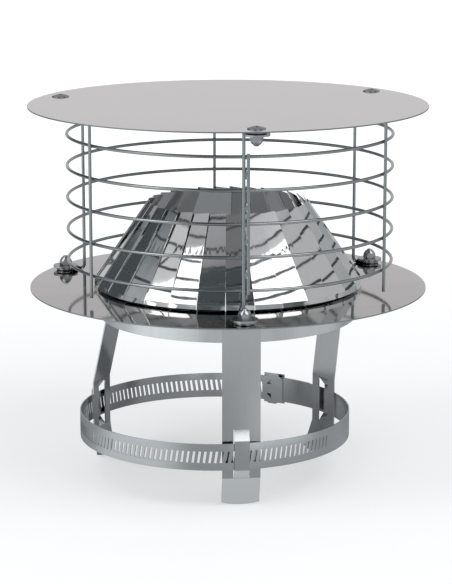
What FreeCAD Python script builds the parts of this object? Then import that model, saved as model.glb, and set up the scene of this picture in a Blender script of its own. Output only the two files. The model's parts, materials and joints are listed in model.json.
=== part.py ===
# Chimney cap in stainless steel: a rain disc over a wire bird guard, a base disc with a cone of
# lamellae rising through it, and three legs that a worm drive clamp draws onto a flue.
# The axis of the cap is Z, the tips of the legs lie at Z = 0 and the front leg is towards -Y.
# An azimuth is counted from -Y towards +X, in degrees.
import FreeCAD, Part
import math
import os
import Sketcher
from FreeCAD import Placement, Rotation, Vector

os.makedirs("parts", exist_ok=True)
doc = FreeCAD.newDocument("chimney_cap")
sheet = doc.addObject("Spreadsheet::Sheet", "sizes")

driving_sizes = [
    # Discs
    ("collar_diameter", 162.0, "outside of the plain band of the comb strip, which sets the cap's size"),
    ("disc_overhang", 44.0, "rims of both discs beyond the collar"),
    ("disc_thickness", 0.8, "sheet of both discs"),
    ("disc_spacing", 113.8, "clear height between the discs"),
    ("leg_drop", 122.0, "underside of the base disc down to the leg tips"),
    # Lamella cone: a comb-cut strip, rolled up
    ("strip_thickness", 0.4, "sheet of the comb strip"),
    ("collar_depth", 18.6, "plain band below the base disc"),
    ("collar_hole_gap", 0.3, "base disc hole round the collar"),
    ("tongue_count", 30, "tongues of the comb"),
    ("slit_width", 0.4, "slit between two tongues at their roots"),
    ("lip_reach", 3.7, "how far the foot bulges out over the disc"),
    ("lip_height", 1.5, "widest point of the foot above the disc"),
    ("flare_reach", 1.5, "foot halfway up its flare, beyond the collar"),
    ("flare_height", 0.5, "foot halfway up its flare, above the disc"),
    ("flare_lean", 55.0, "lean of the foot halfway up its flare"),
    ("shoulder_inset", 1.1, "start of a tongue's flat inside the widest point of its foot"),
    ("shoulder_rise", 2.6, "start of a tongue's flat above the widest point of its foot"),
    ("cone_inset", 31.9, "tips of the tongues inside the collar's outside"),
    ("cone_height", 53.9, "outer corners of the tips above the base disc"),
    ("foot_twist", 2.5, "turn of a tongue about the vertical, above the foot"),
    ("tip_twist", 5.05, "turn of a tongue about the vertical, at its tip"),
    ("tip_lap", 1.5, "how far a tip reaches behind its neighbour"),
    ("tip_slant", 1.4, "outer corner of a tip above its hidden corner"),
    ("seam_angle", 78.0, "azimuth of the strip's lapped seam"),
    ("seam_lap", 6.0, "lap of the strip's seam along the collar"),
    # Legs
    ("leg_width", 23.4, "strip of the legs"),
    ("leg_thickness", 0.8, "sheet of the legs"),
    ("leg_seat_gap", 0.1, "leg to collar and to base disc"),
    ("bend_below_collar", 11.0, "upper bend of a leg below the collar"),
    ("bend_above_bridge", 1.0, "lower bend of a leg above its bridge"),
    ("front_leg_angle", 0.7, "azimuth of the front leg"),
    ("right_leg_angle", 119.2, "azimuth of the right leg"),
    ("left_leg_angle", 241.2, "azimuth of the left leg"),
    ("front_leg_kick", 7.4, "tip of the front leg bent inwards"),
    ("right_leg_kick", 7.4, "tip of the right leg bent inwards"),
    ("left_leg_kick", 2.8, "tip of the left leg bent inwards"),
    ("kick_room", 0.25, "bend of a kicked end below the bridge"),
    ("tip_crown", 1.8, "rounding of a leg's end between its corners"),
    ("bridge_width", 9.2, "strip lanced out of a leg over the clamp"),
    ("bridge_room", 3.2, "free height under that strip beyond the band's own thickness"),
    ("bridge_slope", 6.0, "height of each sloping end of it"),
    ("bridge_end_room", 0.9, "straight part of it beyond the band's edges"),
    ("bridge_lift", 1.0, "middle of it above the middle of the band"),
    ("bridge_cut_gap", 0.35, "cut on each side of the lanced strip"),
    # Worm drive clamp
    ("band_slack", 4.4, "outside of the band beyond the legs, if it hung centred"),
    ("band_thickness", 0.7, "band"),
    ("band_width", 16.6, "band"),
    ("band_height", 33.4, "middle of the band above the leg tips"),
    ("front_band_gap", 2.75, "front leg to the inside of the band"),
    ("right_band_gap", 1.8, "right leg to the inside of the band"),
    ("left_band_gap", 1.9, "left leg to the inside of the band"),
    ("clamp_shift_x", -8.47, "clamp centre off the cap's axis, as it hangs in the legs"),
    ("clamp_shift_y", 0.74, "clamp centre off the cap's axis, as it hangs in the legs"),
    ("slot_pitch", 3.46, "from slot to slot along the outside of the band"),
    ("slot_length", 7.4, "slots"),
    ("slot_width", 1.5, "slots"),
    ("slot_lean", 9.0, "slots lean from the upright, in degrees"),
    ("slot_last_angle", 48.7, "azimuth of the slot furthest from the free end, about the clamp centre"),
    ("lap_gap", 0.15, "free end of the band over its fixed end"),
    ("fixed_end_reach", 4.5, "fixed end of the band before the middle of the housing"),
    ("climb_length", 39.0, "stretch over which the free end climbs onto the fixed end"),
    ("climb_distance", 21.0, "top of that climb before the middle of the housing"),
    ("tail_length", 22.0, "free end of the band beyond the housing"),
    ("housing_angle", 147.9, "azimuth of the housing about the clamp centre"),
    ("housing_length", 15.0, "housing along the band"),
    ("housing_sheet", 0.8, "sheet of the housing"),
    ("housing_side_gap", 1.0, "housing beside the band's edges"),
    ("housing_gap", 0.4, "housing and worm to the faces of the band"),
    ("saddle_taper", 5.0, "length of the tapered corners of the housing's saddle"),
    ("saddle_end_inset", 0.8, "tapered saddle end inside the band's edges"),
    ("notch_size", 3.4, "three-cornered notches of the saddle"),
    ("notch_inset", 1.6, "notches inside the band's edges"),
    ("notch_offset", 1.0, "upright side of a notch beyond the middle of the housing"),
    ("worm_diameter", 8.0, "worm of the clamp screw"),
    ("worm_gap", 0.3, "housing's arch round the worm"),
    ("worm_setback", 1.5, "worm inside the ends of the housing"),
    ("screw_head_size", 7.0, "hexagon of the clamp screw across its flats"),
    ("screw_head_length", 5.5, "hexagon of the clamp screw beyond the housing"),
    ("driver_slot_width", 1.2, "slot for a screwdriver"),
    ("driver_slot_depth", 2.0, "slot for a screwdriver"),
    # Bird guard
    ("wire_diameter", 2.0, "all wires"),
    ("guard_shift_x", 1.2, "middle of the guard off the cap's axis, as its loops were bent"),
    ("guard_shift_y", -0.1, "middle of the guard off the cap's axis, as its loops were bent"),
    ("post_room", 2.57, "middle of the upright wires inside the edges of the lower washers"),
    ("ring_count", 5, "rings of the guard"),
    ("ring_first_height", 17.2, "lowest ring above the base disc"),
    ("ring_last_drop", 17.0, "highest ring below the rain disc"),
    ("weld_gap", 0.03, "wire to wire at the welds"),
    ("front_post_angle", -0.6, "azimuth of the front post"),
    ("right_post_angle", 123.0, "azimuth of the right post"),
    ("left_post_angle", 241.0, "azimuth of the left post"),
    ("right_stay_angle", 60.3, "azimuth of the right stay"),
    ("back_stay_angle", 180.7, "azimuth of the back stay"),
    ("left_stay_angle", 301.1, "azimuth of the left stay"),
    ("stay_foot_gap", 4.0, "stay above the base disc"),
    ("stay_head_gap", 4.2, "stay below the rain disc"),
    ("joint_wire_gap", 0.7, "clear width between the front post and the joint wire"),
    ("ring_end_lap", 0.7, "ring ends past the middle of the wire that carries them"),
    ("bead_length", 6.0, "weld beads between the front post and the joint wire"),
    ("bead_depth", 2.3, "weld beads, front to back"),
    ("bead_reach", 2.2, "weld beads, from their middle onto each wire"),
    ("loop_diameter", 10.4, "centre line of the wire loops round the bolts"),
    ("loop_sweep", 262.0, "how far a loop goes round its bolt, in degrees"),
    ("wire_bend_radius", 3.0, "bend from a post into its loop"),
    # Bolts
    ("base_bolt_inset", 10.5, "bolts inside the rim of the base disc"),
    ("top_bolt_inset", 12.5, "bolts inside the rim of the rain disc"),
    ("front_base_bolt_angle", -0.1, "azimuth"),
    ("right_base_bolt_angle", 120.0, "azimuth"),
    ("left_base_bolt_angle", 242.8, "azimuth"),
    ("front_top_bolt_angle", 3.4, "azimuth"),
    ("right_top_bolt_angle", 118.9, "azimuth"),
    ("left_top_bolt_angle", 247.0, "azimuth"),
    ("bolt_diameter", 4.0, "shank"),
    ("bolt_length", 10.1, "shank under the head"),
    ("bolt_point", 0.8, "chamfer at the end of the shank"),
    ("bolt_hole_gap", 0.25, "holes of the discs and washers round the shank"),
    ("head_diameter", 11.0, "domed head"),
    ("head_height", 1.5, "domed head"),
    ("head_rim", 0.5, "upright rim under the dome"),
    ("recess_reach", 2.2, "arms of the cross recess"),
    ("recess_width", 1.1, "arms of the cross recess"),
    ("recess_depth", 0.9, "cross recess of the head"),
    ("washer_diameter", 16.0, "penny washer"),
    ("washer_thickness", 1.2, "penny washer"),
    ("nut_width", 7.0, "lock nut across its flats"),
    ("nut_height", 5.0, "lock nut"),
    ("nut_body_height", 2.4, "lock nut up to the start of its rounded collar"),
    ("nut_crown_diameter", 5.0, "end of the rounded collar"),
    ("nut_chamfer", 0.36, "height of the chamfer on the nut's corners"),
    ("nut_bore_gap", 0.1, "nut bore round the shank"),
]


def enterSizes():
    for row, (name, number, note) in enumerate(driving_sizes, 1):
        sheet.set(f"A{row}", name)
        sheet.set(f"B{row}", str(number))
        sheet.set(f"C{row}", note)
        sheet.setAlias(f"B{row}", name)
    doc.recompute()


def size(name):
    return float(sheet.get(name))


# Lengths that several pieces share, as expressions of the sheet
base_top = "(sizes.leg_drop + sizes.disc_thickness)"
rain_underside = f"({base_top} + sizes.disc_spacing)"
ring_span = "(sizes.disc_spacing - sizes.ring_first_height - sizes.ring_last_drop)"
ring_pitch = f"({ring_span} / (sizes.ring_count - 1))"
bolt_reach = {
    prefix: f"(sizes.collar_diameter / 2 + sizes.disc_overhang - sizes.{prefix}_bolt_inset)"
    for prefix in ("base", "top")}
bolt_hole = "(sizes.bolt_diameter + 2 * sizes.bolt_hole_gap)"
post_reach = f"({bolt_reach['base']} - sizes.washer_diameter / 2 - sizes.post_room)"
ring_reach = f"({post_reach} - sizes.wire_diameter - sizes.weld_gap)"
joint_step = f"((sizes.joint_wire_gap + sizes.wire_diameter) / {post_reach} * 180 / pi)"
joint_angle = f"(sizes.front_post_angle + {joint_step})"
leg_outside = "(sizes.collar_diameter / 2 + sizes.leg_seat_gap + sizes.leg_thickness)"
band_outside = f"({leg_outside} + sizes.band_slack)"
band_inside = f"({band_outside} - sizes.band_thickness)"
lap_step = "(sizes.band_thickness + sizes.lap_gap)"
worm_seat = f"({band_outside} + {lap_step} + sizes.housing_gap)"
worm_reach = f"({worm_seat} + sizes.worm_diameter / 2)"


def measure(expression):
    return float(sheet.evalExpression(expression))


def bind(thing, **expressions):
    for field, expression in expressions.items():
        thing.setExpression(field, expression)


def place(thing, x="0", y="0", z="0", turn="0", axis=Vector(0, 0, 1)):
    thing.Placement = Placement(Vector(0, 0, 0), Rotation(axis, 1))
    thing.setExpression("Placement.Base.x", x)
    thing.setExpression("Placement.Base.y", y)
    thing.setExpression("Placement.Base.z", z)
    thing.setExpression("Placement.Rotation.Angle", turn)


def onCircle(radius, angle):
    return f"{radius} * sin({angle})", f"-{radius} * cos({angle})"


def onGuard(radius, angle):
    # a place on the guard, which stands a little off the cap's axis
    x, y = onCircle(radius, angle)
    return f"sizes.guard_shift_x + {x}", f"sizes.guard_shift_y + {y}"


def primitive(kind, name, **expressions):
    thing = doc.addObject(kind, name)
    bind(thing, **expressions)
    return thing


def newBody(name):
    return doc.addObject("PartDesign::Body", name)


def newSketch(body, name, role="XY_Plane", lift="0"):
    plane = [item for item in body.Origin.OriginFeatures if item.Role == role][0]
    sketch = body.newObject("Sketcher::SketchObject", name)
    sketch.AttachmentSupport = [(plane, "")]
    sketch.MapMode = "FlatFace"
    sketch.setExpression("AttachmentOffset.Base.z", lift)
    return sketch


def holdPoint(sketch, item, corner, x, y):
    # ties one point of a sketch to two expressions, measured from the sketch's origin
    for kind, expression in (("DistanceX", x), ("DistanceY", y)):
        start = sketch.evalExpression(expression)
        number = sketch.addConstraint(Sketcher.Constraint(kind, -1, 1, item, corner, float(start)))
        sketch.setExpression(f"Constraints[{number}]", expression)


def arcBetween(start, end, radius, side):
    # side 1 bulges to the right of the way from start to end, side -1 to the left
    chord = end - start
    right = Vector(chord.y, -chord.x, 0).normalize() * side
    depth = radius - math.sqrt(max(radius * radius - chord.Length ** 2 / 4, 0))
    return Part.Arc(start, (start + end) / 2 + right * depth, end)


def drawOutline(sketch, corners, arcs=None):
    # closed outline; arcs gives (radius, side) for the edges that aren't straight, by number
    points = [Vector(sketch.evalExpression(x), sketch.evalExpression(y), 0) for x, y in corners]
    arcs = arcs or {}
    first = sketch.GeometryCount
    count = len(points)
    ends = []
    for step in range(count):
        start, end = points[step], points[(step + 1) % count]
        if step in arcs:
            radius, side = arcs[step]
            sketch.addGeometry(arcBetween(start, end, float(sketch.evalExpression(radius)), side), False)
            ends.append((1, 2) if side > 0 else (2, 1))
        else:
            sketch.addGeometry(Part.LineSegment(start, end), False)
            ends.append((1, 2))
    for step in range(count):
        following = (step + 1) % count
        sketch.addConstraint(Sketcher.Constraint(
            "Coincident", first + step, ends[step][1], first + following, ends[following][0]))
    for step, (x, y) in enumerate(corners):
        holdPoint(sketch, first + step, ends[step][0], x, y)
    for step, (radius, side) in arcs.items():
        start_radius = float(sketch.evalExpression(radius))
        number = sketch.addConstraint(Sketcher.Constraint("Radius", first + step, start_radius))
        sketch.setExpression(f"Constraints[{number}]", radius)


def drawCircle(sketch, diameter, x=None, y=None):
    radius = sketch.evalExpression(diameter) / 2
    middle = Vector(sketch.evalExpression(x), sketch.evalExpression(y), 0) if x else Vector(0, 0, 0)
    item = sketch.addGeometry(Part.Circle(middle, Vector(0, 0, 1), radius), False)
    if x:
        holdPoint(sketch, item, 3, x, y)
    else:
        sketch.addConstraint(Sketcher.Constraint("Coincident", item, 3, -1, 1))
    number = sketch.addConstraint(Sketcher.Constraint("Diameter", item, radius * 2))
    sketch.setExpression(f"Constraints[{number}]", diameter)


def hexagonCorners(width):
    reach = f"({width} / 2 / cos(30))"
    return [(f"{reach} * cos({60 * step})", f"{reach} * sin({60 * step})") for step in range(6)]


def pad(body, sketch, length, both_ways=False, name="pad"):
    feature = body.newObject("PartDesign::Pad", name)
    feature.Profile = sketch
    if both_ways:
        feature.SideType = "Symmetric"
    feature.setExpression("Length", length)
    return feature


def pocket(body, sketch, depth, both_ways=False, name="pocket"):
    feature = body.newObject("PartDesign::Pocket", name)
    feature.Profile = sketch
    if both_ways:
        feature.SideType = "Symmetric"
    feature.setExpression("Length", depth)
    return feature


def revolve(body, sketch, name):
    axis = [item for item in body.Origin.OriginFeatures if item.Role == "Z_Axis"][0]
    feature = body.newObject("PartDesign::Revolution", name)
    feature.Profile = sketch
    feature.ReferenceAxis = (axis, [""])
    feature.Angle = 360
    return feature


def makeDisc(name, bolt_prefix, height, middle_hole):
    # a flat disc with three bolt holes near its rim, and the flue's hole in the lower one
    body = newBody(name)
    rim = newSketch(body, name + "_rim")
    drawCircle(rim, "sizes.collar_diameter + 2 * sizes.disc_overhang")
    if middle_hole:
        drawCircle(rim, "sizes.collar_diameter + 2 * sizes.collar_hole_gap")
    pad(body, rim, "sizes.disc_thickness", name=name + "_sheet")
    holes = newSketch(body, name + "_holes")
    for side in ("front", "right", "left"):
        x, y = onCircle(bolt_reach[bolt_prefix], f"sizes.{side}_{bolt_prefix}_bolt_angle")
        drawCircle(holes, bolt_hole, x, y)
    pocket(body, holes, "4 * sizes.disc_thickness", both_ways=True, name=name + "_drill")
    place(body, z=height)
    return body


def polarPoint(azimuth, reach, along, height):
    turn = math.radians(azimuth)
    outward = Vector(math.sin(turn), -math.cos(turn), 0)
    sideways = Vector(math.cos(turn), math.sin(turn), 0)
    return outward * reach + sideways * along + Vector(0, 0, height)


def arcStation(reach, height, half_angle, lean, azimuth):
    # curved section of a tongue: the sheet's middle at a reach and height, leaning outwards
    half_sheet = size("strip_thickness") / 2
    out = half_sheet * math.cos(math.radians(lean))
    down = half_sheet * math.sin(math.radians(lean))
    turns = (azimuth - half_angle, azimuth, azimuth + half_angle)
    outer = [polarPoint(turn, reach + out, 0, height - down) for turn in turns]
    inner = [polarPoint(turn, reach - out, 0, height + down) for turn in turns]
    edges = [
        Part.Arc(outer[0], outer[1], outer[2]).toShape(),
        Part.LineSegment(outer[2], inner[2]).toShape(),
        Part.Arc(inner[2], inner[1], inner[0]).toShape(),
        Part.LineSegment(inner[0], outer[0]).toShape(),
    ]
    return Part.Wire(edges)


def flatStation(reach, height, right, left, lean, azimuth, slant):
    # straight section of a tongue, between its right edge and its hidden left edge
    half_sheet = size("strip_thickness") / 2
    out = half_sheet * math.cos(math.radians(lean))
    up = half_sheet * math.sin(math.radians(lean))
    corners = [
        polarPoint(azimuth, reach + out, left, height + up - slant),
        polarPoint(azimuth, reach + out, right, height + up),
        polarPoint(azimuth, reach - out, right, height - up),
        polarPoint(azimuth, reach - out, left, height - up - slant),
    ]
    return Part.makePolygon(corners + corners[:1])


def makeTongue(azimuth, floor):
    # one lamella: root, foot bulging over the disc, and the long flat that laps its neighbour
    pitch = 360 / size("tongue_count")
    root = size("collar_diameter") / 2 - size("strip_thickness") / 2
    edge_angle = pitch / 2 - math.degrees(size("slit_width") / 2 / root)
    lip = root + size("lip_reach")
    lip_height = size("lip_height")
    flare = root + size("flare_reach")
    shoulder = lip - size("shoulder_inset")
    shoulder_height = lip_height + size("shoulder_rise")
    tip_reach = size("collar_diameter") / 2 - size("cone_inset")
    rise = size("cone_height") - shoulder_height
    lean = math.degrees(math.atan2(shoulder - tip_reach, rise))
    foot_turn = size("foot_twist")
    foot_right = shoulder * math.tan(math.radians(edge_angle + foot_turn))
    foot_left = shoulder * math.tan(math.radians(foot_turn - edge_angle))
    tip_turn = size("tip_twist")
    tip_right = tip_reach * math.tan(math.radians(edge_angle + tip_turn))
    tip_width = 2 * tip_reach * math.tan(math.radians(pitch / 2)) + size("tip_lap")
    tip_height = floor + size("cone_height")
    stations = [
        arcStation(root, floor, edge_angle, 0, azimuth),
        arcStation(flare, floor + size("flare_height"), edge_angle, size("flare_lean"), azimuth),
        arcStation(lip, floor + lip_height, edge_angle, 0, azimuth),
        flatStation(shoulder, floor + shoulder_height, foot_right, foot_left, lean, azimuth - foot_turn, 0),
        flatStation(tip_reach, tip_height, tip_right, tip_right - tip_width, lean, azimuth - tip_turn,
                    size("tip_slant")),
    ]
    return Part.makeLoft(stations, True, True)


def makeLamellaCone():
    # the comb strip: its plain band is the collar, its tongues make the cone
    floor = measure(base_top)
    outside = size("collar_diameter") / 2
    strip = size("strip_thickness")
    depth = size("collar_depth") + size("disc_thickness")
    foot = Vector(0, 0, floor - depth)
    ring = Part.makeCylinder(outside, depth, foot).cut(Part.makeCylinder(outside - strip, depth, foot))
    lap_angle = math.degrees(size("seam_lap") / outside)
    lap_blank = Part.makeCylinder(outside + strip, size("collar_depth"), foot, Vector(0, 0, 1), lap_angle)
    lap = lap_blank.cut(Part.makeCylinder(outside, depth, foot))
    lap.rotate(Vector(0, 0, 0), Vector(0, 0, 1), size("seam_angle") - 90)
    pitch = 360 / size("tongue_count")
    tongues = [makeTongue(pitch * number, floor) for number in range(int(size("tongue_count")))]
    cone = doc.addObject("Part::Feature", "lamella_cone")
    cone.Shape = ring.fuse([lap] + tongues)
    return cone


def makeLeg(side):
    # a bent strip on the collar's outside, with a bridge lanced outwards for the clamp band
    body = newBody(f"leg_{side}")
    angle = f"sizes.{side}_leg_angle"
    shift = f"(sizes.clamp_shift_x * sin({angle}) - sizes.clamp_shift_y * cos({angle}))"
    upper = leg_outside
    lower = f"({band_inside} + {shift} - sizes.{side}_band_gap)"
    tip = f"({lower} - sizes.{side}_leg_kick)"
    middle = "(sizes.band_height + sizes.bridge_lift)"
    crest_half = "(sizes.band_width / 2 + sizes.bridge_end_room)"
    window_top = f"({middle} + {crest_half} + sizes.bridge_slope)"
    window_foot = f"({middle} - {crest_half} - sizes.bridge_slope)"
    face = [
        (upper, "sizes.leg_drop - sizes.leg_seat_gap"),
        (upper, "sizes.leg_drop - sizes.collar_depth - sizes.bend_below_collar"),
        (lower, f"{window_top} + sizes.bend_above_bridge"),
        (lower, f"{window_foot} - sizes.kick_room"),
        (tip, "0"),
    ]
    back = [(f"{x} - sizes.leg_thickness", z) for x, z in reversed(face)]
    profile = newSketch(body, f"leg_{side}_bends", "XZ_Plane")
    drawOutline(profile, face + back)
    pad(body, profile, "sizes.leg_width", both_ways=True, name=f"leg_{side}_strip")

    # the rounded end: everything below an arc through the tip is cut away
    half = "(sizes.leg_width / 2)"
    beyond = f"({half} + sizes.tip_crown)"
    round_end = newSketch(body, f"leg_{side}_round_end", "YZ_Plane", lift=lower)
    drawOutline(
        round_end,
        [(half, "sizes.tip_crown"), (f"-{half}", "sizes.tip_crown"), (f"-{beyond}", "sizes.tip_crown"),
         (f"-{beyond}", "-sizes.tip_crown"), (beyond, "-sizes.tip_crown"), (beyond, "sizes.tip_crown")],
        {0: (f"({half} * {half} + sizes.tip_crown * sizes.tip_crown) / (2 * sizes.tip_crown)", -1)})
    pocket(body, round_end, f"4 * (sizes.{side}_leg_kick + sizes.leg_thickness)", both_ways=True,
           name=f"leg_{side}_rounding")

    window = newSketch(body, f"leg_{side}_window", "YZ_Plane", lift=lower)
    half_window = "(sizes.bridge_width / 2 + sizes.bridge_cut_gap)"
    drawOutline(window, [(f"-{half_window}", window_foot), (half_window, window_foot),
                         (half_window, window_top), (f"-{half_window}", window_top)])
    pocket(body, window, "4 * sizes.leg_thickness", both_ways=True, name=f"leg_{side}_lancing")

    crest = f"({lower} + sizes.leg_thickness + sizes.band_thickness + sizes.bridge_room)"
    bridge_face = [
        (lower, window_top),
        (crest, f"{middle} + {crest_half}"),
        (crest, f"{middle} - {crest_half}"),
        (lower, window_foot),
    ]
    bridge_back = [(f"{x} - sizes.leg_thickness", z) for x, z in reversed(bridge_face)]
    bridge = newSketch(body, f"leg_{side}_bridge_line", "XZ_Plane")
    drawOutline(bridge, bridge_face + bridge_back)
    pad(body, bridge, "sizes.bridge_width", both_ways=True, name=f"leg_{side}_bridge")
    place(body, turn=f"{angle} - 90")
    return body


def bandWall(near, far, width):
    # upright wall between two arcs, each given by three points in the same order
    edges = [
        Part.Arc(near[0], near[1], near[2]).toShape(),
        Part.LineSegment(near[2], far[2]).toShape(),
        Part.Arc(far[2], far[1], far[0]).toShape(),
        Part.LineSegment(far[0], near[0]).toShape(),
    ]
    return Part.Face(Part.Wire(edges)).extrude(Vector(0, 0, width))


def makeClampBand():
    # one slotted strip: its free end climbs over its fixed end, runs through the housing and ends
    # in a tail. Azimuths fall from the plain part, round the legs, to the free end.
    inside = measure(band_inside)
    thickness = size("band_thickness")
    width = size("band_width")
    step = measure(lap_step)
    degrees_per_length = math.degrees(1 / (inside + thickness))
    housing = size("housing_angle")
    fixed_end = housing - size("fixed_end_reach") * degrees_per_length + 360
    climb_end = housing + size("climb_distance") * degrees_per_length
    climb_start = climb_end + size("climb_length") * degrees_per_length
    tail_end = housing - (size("housing_length") / 2 + size("tail_length")) * degrees_per_length

    def stretch(start, end, start_lift, end_lift):
        turns = (start, (start + end) / 2, end)
        lifts = (start_lift, (start_lift + end_lift) / 2, end_lift)
        near = [polarPoint(turn, inside + lift, 0, 0) for turn, lift in zip(turns, lifts)]
        far = [polarPoint(turn, inside + thickness + lift, 0, 0) for turn, lift in zip(turns, lifts)]
        return bandWall(near, far, width)

    half_way = (climb_start + fixed_end) / 2
    round_legs = stretch(climb_start, half_way, 0, 0).fuse(stretch(half_way, fixed_end, 0, 0))
    free_end = stretch(climb_end, climb_start, step, 0).fuse(stretch(tail_end, climb_end, step, step))

    cutter = Part.makeBox(4 * thickness, size("slot_width"), size("slot_length"),
                          Vector(-2 * thickness, -size("slot_width") / 2, -size("slot_length") / 2))
    cutter.rotate(Vector(0, 0, 0), Vector(1, 0, 0), -size("slot_lean"))
    pitch = size("slot_pitch") * degrees_per_length
    turn = size("slot_last_angle") + 360
    leg_slots = []
    end_slots = []
    while turn > tail_end + pitch:
        lift = step * min(max((climb_start - turn) / (climb_start - climb_end), 0), 1)
        slot = cutter.copy()
        slot.translate(Vector(inside + lift + thickness / 2, 0, width / 2))
        slot.rotate(Vector(0, 0, 0), Vector(0, 0, 1), turn - 90)
        if turn > climb_start - pitch:
            leg_slots.append(slot)
        if turn < climb_start + pitch:
            end_slots.append(slot)
        turn -= pitch
    band = doc.addObject("Part::Feature", "clamp_band")
    band.Shape = round_legs.cut(leg_slots).fuse(free_end.cut(end_slots)).removeSplitter()
    foot = size("band_height") - width / 2
    band.Placement = Placement(Vector(size("clamp_shift_x"), size("clamp_shift_y"), foot), Rotation())
    return band


def makeClampHousing():
    # saddle inside the band, folded round its edges and arched over the worm outside it
    body = newBody("clamp_housing")
    wall = "sizes.housing_sheet"
    saddle = f"({band_inside} - sizes.housing_gap)"
    side = "(sizes.band_width / 2 + sizes.housing_side_gap)"
    arch = "(sizes.worm_diameter / 2 + sizes.worm_gap)"

    def section(saddle_face, half, shoulder, arch_radius):
        corners = [
            (saddle_face, f"-{half}"),
            (shoulder, f"-{half}"),
            (shoulder, f"-{arch_radius}"),
            (worm_reach, f"-{arch_radius}"),
            (f"{worm_reach} + {arch_radius}", "0"),
            (worm_reach, arch_radius),
            (shoulder, arch_radius),
            (shoulder, half),
            (saddle_face, half),
        ]
        return corners, {3: (arch_radius, 1), 4: (arch_radius, 1)}

    profile = newSketch(body, "housing_profile", "XZ_Plane")
    drawOutline(profile, *section(f"({saddle} - {wall})", f"({side} + {wall})", f"({worm_seat} + {wall})",
                                  f"({arch} + {wall})"))
    drawOutline(profile, *section(saddle, side, worm_seat, arch))
    pad(body, profile, "sizes.housing_length", both_ways=True, name="housing_shell")

    # tapered corners and three-cornered notches of the saddle
    end = "(sizes.housing_length / 2)"
    taper_start = f"({end} - sizes.saddle_taper)"
    taper_end = "(sizes.band_width / 2 - sizes.saddle_end_inset)"
    above = f"({side} + 2 * {wall})"
    tapers = newSketch(body, "saddle_tapers", "YZ_Plane", lift=band_inside)
    for along in ("", "-"):
        for up in ("", "-"):
            drawOutline(tapers, [
                (f"{along}{taper_start}", f"{up}{above}"),
                (f"{along}{end} * 1.1", f"{up}{above}"),
                (f"{along}{end} * 1.1", f"{up}{taper_end}"),
                (f"{along}{end}", f"{up}{taper_end}"),
                (f"{along}{taper_start}", f"{up}({side} + {wall})"),
            ])
    pocket(body, tapers, f"2 * (sizes.band_thickness + sizes.housing_gap + {wall})", both_ways=True,
           name="saddle_tapering")
    notches = newSketch(body, "saddle_notches", "YZ_Plane", lift=f"{saddle} - {wall} / 2")
    outer_edge = "(sizes.band_width / 2 - sizes.notch_inset)"
    for up in ("", "-"):
        drawOutline(notches, [
            ("sizes.notch_offset", f"{up}{outer_edge}"),
            ("sizes.notch_offset", f"{up}({outer_edge} - sizes.notch_size)"),
            ("sizes.notch_offset + sizes.notch_size", f"{up}({outer_edge} - sizes.notch_size)"),
        ])
    pocket(body, notches, f"2 * {wall}", both_ways=True, name="saddle_notching")
    place(body, "sizes.clamp_shift_x", "sizes.clamp_shift_y", "sizes.band_height", "sizes.housing_angle - 90")
    return body


def makeClampScrew():
    # worm lying along the band, with a slotted hexagon head at its open end
    body = newBody("clamp_screw")
    worm = newSketch(body, "worm_end", "XZ_Plane")
    drawCircle(worm, "sizes.worm_diameter")
    pad(body, worm, "sizes.housing_length - 2 * sizes.worm_setback", both_ways=True, name="worm")
    head = newSketch(body, "head_hexagon", "XZ_Plane", lift="sizes.housing_length / 2 - sizes.worm_setback")
    drawOutline(head, hexagonCorners("sizes.screw_head_size"))
    pad(body, head, "sizes.screw_head_length + sizes.worm_setback", name="head")
    slot = newSketch(body, "driver_slot", "XZ_Plane",
                     lift="sizes.housing_length / 2 + sizes.screw_head_length")
    long_half = "sizes.screw_head_size"
    half_slot = "(sizes.driver_slot_width / 2)"
    drawOutline(slot, [(f"-{long_half}", f"-{half_slot}"), (long_half, f"-{half_slot}"),
                       (long_half, half_slot), (f"-{long_half}", half_slot)])
    pocket(body, slot, "sizes.driver_slot_depth", name="driver_slot_cut")
    x, y = onCircle(worm_reach, "sizes.housing_angle")
    place(body, f"sizes.clamp_shift_x + {x}", f"sizes.clamp_shift_y + {y}", "sizes.band_height",
          "sizes.housing_angle - 90")
    return body


def makeRing(number):
    # wire ring, open between the front post and the joint wire
    lap = f"(sizes.ring_end_lap / {ring_reach} * 180 / pi)"
    ring = primitive("Part::Torus", f"guard_ring_{number + 1}", Radius1=ring_reach,
                     Radius2="sizes.wire_diameter / 2",
                     Angle3=f"360 - {joint_step} + 2 * {lap}")
    place(ring, "sizes.guard_shift_x", "sizes.guard_shift_y",
          f"{base_top} + sizes.ring_first_height + {number} * {ring_pitch}", f"{joint_angle} - {lap} - 90")
    return ring


def hookPath(foot, bolt_centre, clockwise, bend_sign):
    # from a point on the upright wire: a bend outwards, a run to the bolt, and the loop round it
    bend = size("wire_bend_radius")
    loop = size("loop_diameter") / 2
    flat = bolt_centre - foot
    reach = flat.Length
    swing = math.asin(loop / reach) * (1 if clockwise else -1)
    heading = Rotation(Vector(0, 0, 1), math.degrees(swing)).multVec(flat / reach)
    up = Vector(0, 0, bend_sign)
    bend_start = foot + up * bend
    bend_end = foot + heading * bend
    bend_middle = foot + (up + heading) * bend * (1 - 1 / math.sqrt(2))
    touch = foot + heading * math.sqrt(reach * reach - loop * loop)
    spoke = touch - bolt_centre
    sweep = size("loop_sweep") * (-1 if clockwise else 1)
    loop_middle = bolt_centre + Rotation(Vector(0, 0, 1), sweep / 2).multVec(spoke)
    loop_end = bolt_centre + Rotation(Vector(0, 0, 1), sweep).multVec(spoke)
    edges = [
        Part.Arc(bend_start, bend_middle, bend_end).toShape(),
        Part.LineSegment(bend_end, touch).toShape(),
        Part.Arc(touch, loop_middle, loop_end).toShape(),
    ]
    return bend_start, edges


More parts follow.
